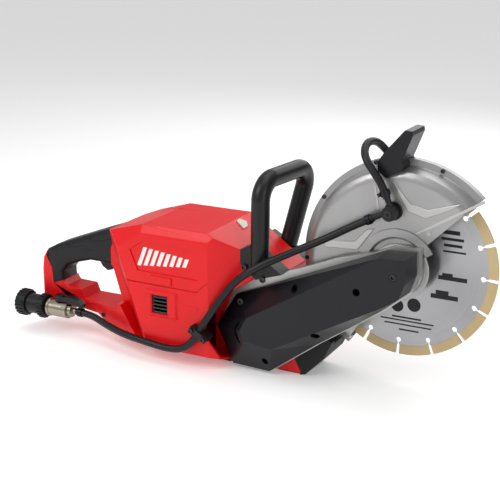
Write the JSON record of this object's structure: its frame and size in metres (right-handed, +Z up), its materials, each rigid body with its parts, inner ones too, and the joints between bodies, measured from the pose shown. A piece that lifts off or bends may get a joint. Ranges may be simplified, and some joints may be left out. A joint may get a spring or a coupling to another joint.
{
  "type": "rescue saw",
  "caption": "Battery cut-off saw with a segmented diamond blade under a swinging guard, belt arm, water feed hose, rear grip with trigger and front loop handle.",
  "frame": {"origin": "on the ground under the middle of the tool's bounding box", "axes": "+X forward to the blade, +Y to the tool's left, +Z up"},
  "size_m": [0.647, 0.1676, 0.3198],
  "materials": {
    "red_shell": "moulded glass-filled nylon, semi-gloss",
    "grip_rubber": "overmoulded thermoplastic rubber, matt",
    "black_plastic": "moulded, fine texture",
    "cover_plastic": "moulded glass-filled nylon, fine texture",
    "lever_plastic": "moulded, fine texture",
    "foot_rubber": "moulded, matt",
    "belt_rubber": "ribbed belt, matt",
    "hose_rubber": "extruded, satin",
    "screw_steel": "black oxide",
    "bearing_steel": "ground",
    "stator_steel": "laminated",
    "clamp_steel": "black spring steel",
    "cast_aluminium": "die cast, bead blasted",
    "guard_metal": "cast and painted silver, satin",
    "nickel_brass": "nickel plated",
    "handle_tube": "powder coated black",
    "blade_steel": "ground, radial reflection",
    "diamond_segment": "sintered bronze with diamond grit",
    "battery_case": "moulded",
    "red_button": "moulded",
    "board_resin": "potted circuit board"
  },
  "bodies": {
    "chassis": {"housing_right": "red_shell", "housing_left": "red_shell", "grip_right": "grip_rubber", "grip_left": "grip_rubber", "housing_screws": "screw_steel", "vent_right": "black_plastic", "vent_left": "black_plastic", "foot_pads": "foot_rubber", "front_skid": "foot_rubber", "trigger_pin": "screw_steel", "trigger_switch": "black_plastic", "motor_stator": "stator_steel", "motor_end_plate": "cast_aluminium", "motor_bearings": "bearing_steel", "arm_casting": "cast_aluminium", "spindle_bearings": "bearing_steel", "belt_cover": "cover_plastic", "belt_cover_screws": "screw_steel", "drive_belt": "belt_rubber", "water_hose": "hose_rubber", "valve_hose_clamp": "clamp_steel", "hose_clip": "black_plastic", "hose_clip_screws": "screw_steel", "valve_body": "nickel_brass", "valve_bracket": "black_plastic", "hose_coupler": "black_plastic", "front_handle": "handle_tube", "handle_bracket_right": "black_plastic", "handle_bracket_left": "black_plastic", "handle_screws": "screw_steel", "battery_terminal": "black_plastic", "control_board": "board_resin"},
    "rotor": {"motor_shaft": "bearing_steel", "rotor_core": "stator_steel", "cooling_fan": "black_plastic", "drive_pulley": "bearing_steel"},
    "blade_spindle": {"spindle_shaft": "bearing_steel", "driven_pulley": "cast_aluminium", "inner_flange": "bearing_steel", "outer_flange": "bearing_steel", "blade_core": "blade_steel", "blade_segments": "diamond_segment", "arbor_bolt": "screw_steel"},
    "guard": {"guard_near_half": "guard_metal", "guard_far_half": "guard_metal", "guard_hub_ring": "guard_metal", "guard_lever": "lever_plastic", "guard_screws": "screw_steel", "water_fitting": "black_plastic", "water_fitting_left": "black_plastic", "rim_hose": "hose_rubber", "guard_hose_clamps": "clamp_steel"},
    "trigger": {"trigger": "black_plastic"},
    "lock_off": {"lock_off_button": "red_button"},
    "valve_handle": {"valve_ball": "nickel_brass", "valve_lever": "black_plastic"},
    "collar": {"coupler_collar": "black_plastic"},
    "battery": {"battery_pack": "battery_case"},
    "button_rear": {"battery_button_rear": "red_button"},
    "button_front": {"battery_button_front": "red_button"}
  },
  "joints": [
    {"name": "blade_spin", "type": "hinge", "parent": "chassis", "child": "blade_spindle", "pos_m": [0.2085, 0.01175, 0.153], "axis": [0, 1, 0], "continuous": true},
    {"name": "motor_spin", "type": "hinge", "parent": "chassis", "child": "rotor", "pos_m": [0.0305, 0.01175, 0.055], "axis": [0, 1, 0], "continuous": true},
    {"name": "guard_swing", "type": "hinge", "parent": "chassis", "child": "guard", "pos_m": [0.2085, 0.01175, 0.153], "axis": [0, 1, 0], "range_deg": [-10, 45], "deforming": ["water_hose"]},
    {"name": "trigger_pull", "type": "hinge", "parent": "chassis", "child": "trigger", "pos_m": [-0.1875, -0.00975, 0.107], "axis": [0, 1, 0], "range_deg": [0, 14], "stiffness_Nm_per_rad": 0.35, "springref_deg": -20.05},
    {"name": "lock_off_press", "type": "slide", "parent": "chassis", "child": "lock_off", "axis": [0, -1, 0], "range_m": [0, 0.003], "stiffness_N_per_m": 500, "springref_m": -0.003},
    {"name": "valve_turn", "type": "hinge", "parent": "chassis", "child": "valve_handle", "pos_m": [-0.2575, -0.05025, 0.037], "axis": [0, 0, -1], "range_deg": [0, 90]},
    {"name": "collar_pull", "type": "slide", "parent": "chassis", "child": "collar", "axis": [-1, 0, 0], "range_m": [0, 0.004], "stiffness_N_per_m": 800, "springref_m": -0.003},
    {"name": "battery_slide", "type": "slide", "parent": "chassis", "child": "battery", "axis": [0, 0, 1], "range_m": [0, 0.11]},
    {"name": "button_rear_press", "type": "slide", "parent": "battery", "child": "button_rear", "axis": [1, 0, 0], "range_m": [0, 0.0025], "stiffness_N_per_m": 500, "springref_m": -0.003},
    {"name": "button_front_press", "type": "slide", "parent": "battery", "child": "button_front", "axis": [-1, 0, 0], "range_m": [0, 0.0025], "stiffness_N_per_m": 500, "springref_m": -0.003}
  ],
  "couplings": [
    {"joint": "motor_spin", "follows": "blade_spin", "ratio": 2}
  ]
}
